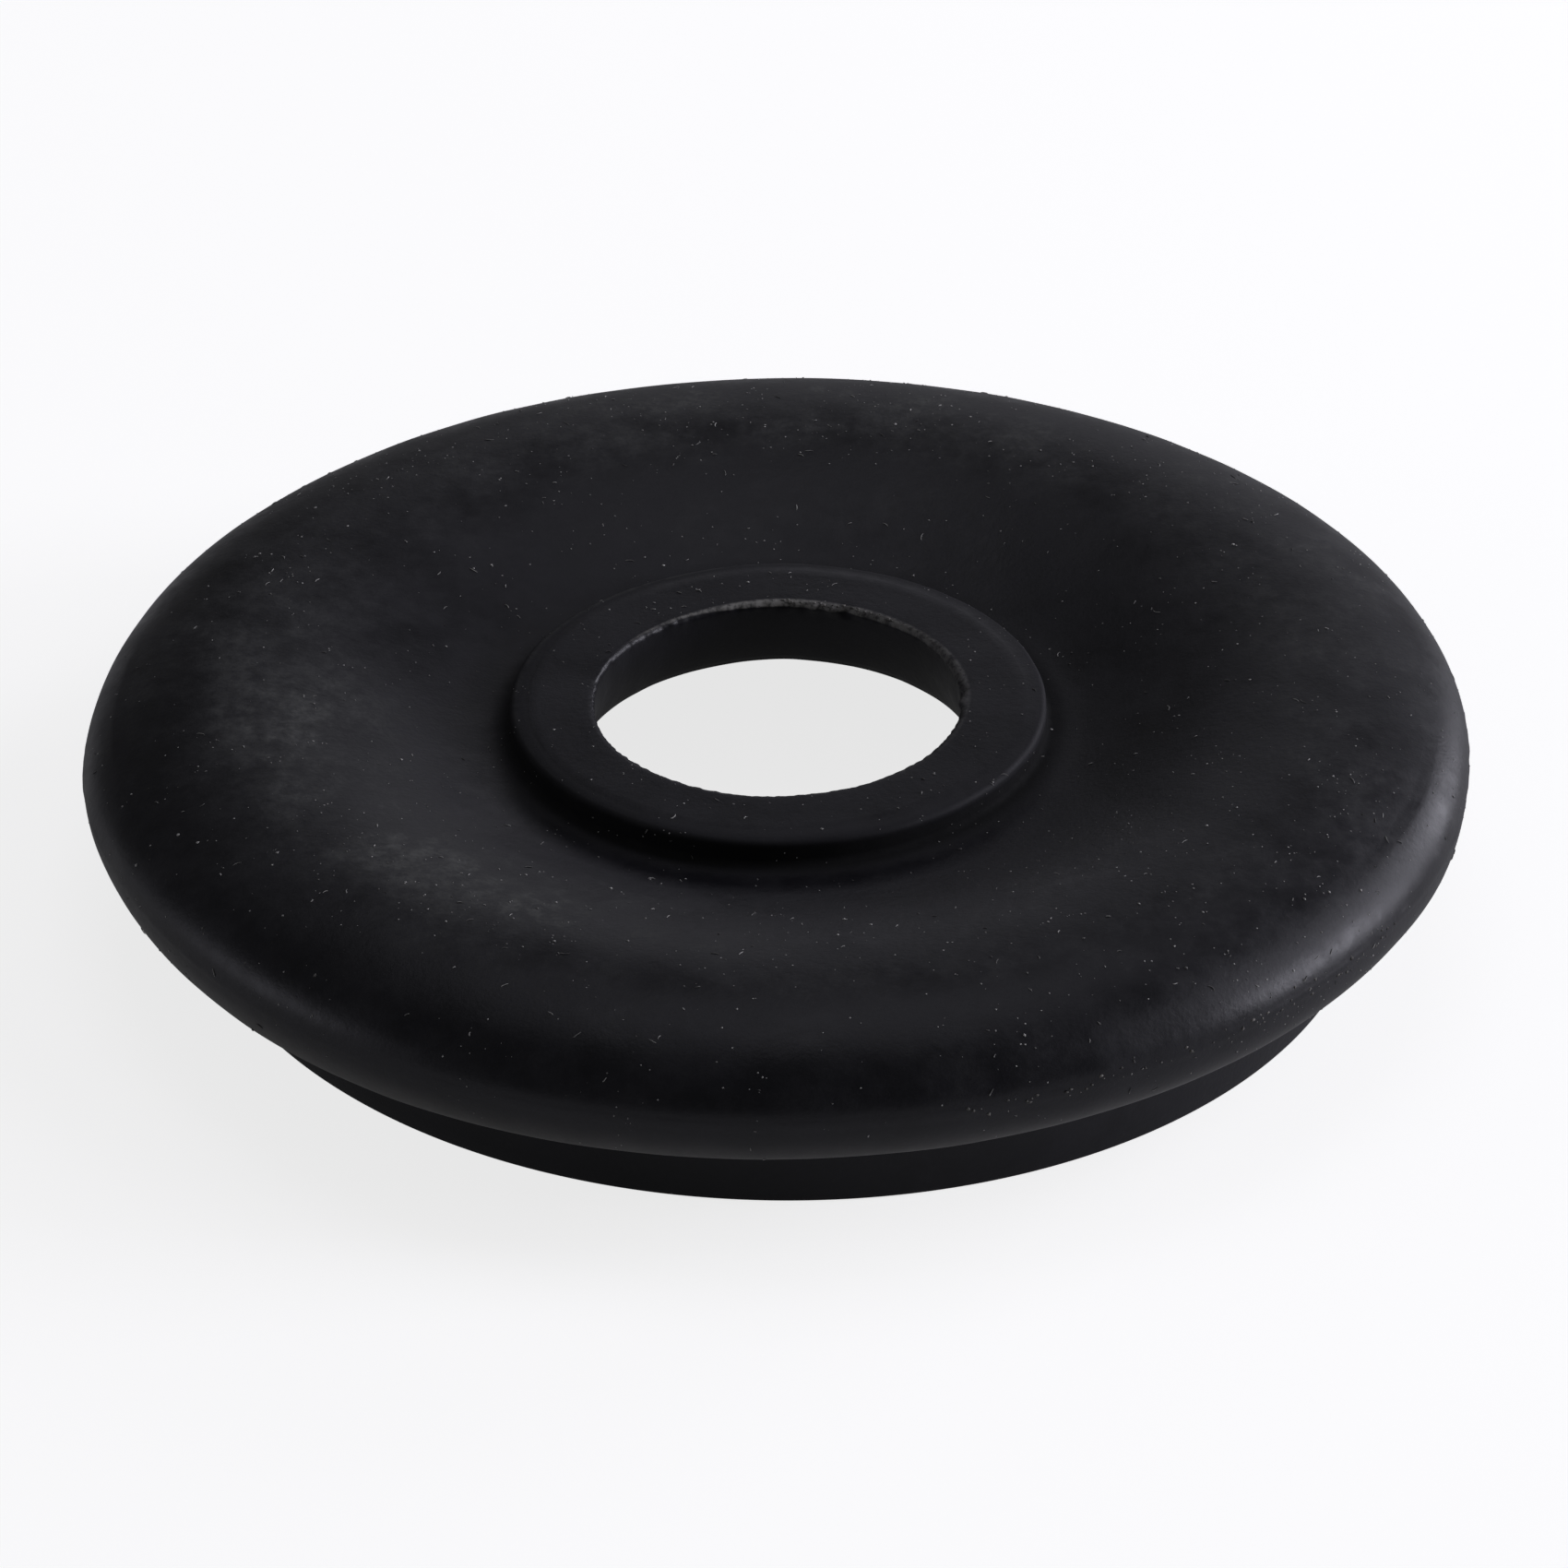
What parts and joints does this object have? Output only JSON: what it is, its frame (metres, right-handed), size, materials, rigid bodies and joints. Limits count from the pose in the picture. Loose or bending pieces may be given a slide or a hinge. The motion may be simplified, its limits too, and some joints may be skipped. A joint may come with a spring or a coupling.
{
  "type": "wiper linkage seal",
  "caption": "Round black rubber seal for a wiper linkage, with a raised ring round its bore, a dished face, a rolled rim with a thin lip, and a collar below.",
  "frame": {"origin": "on the axis, in the plane of the collar's lower face, on which the seal stands", "axes": "+Z along the axis, up out of the dished face; the seal is the same all round, so +X and +Y are free"},
  "size_m": [0.055, 0.055, 0.0092],
  "materials": {
    "rubber": "matte"
  },
  "bodies": {
    "root": {"seal_body": "rubber"}
  },
  "joints": []
}
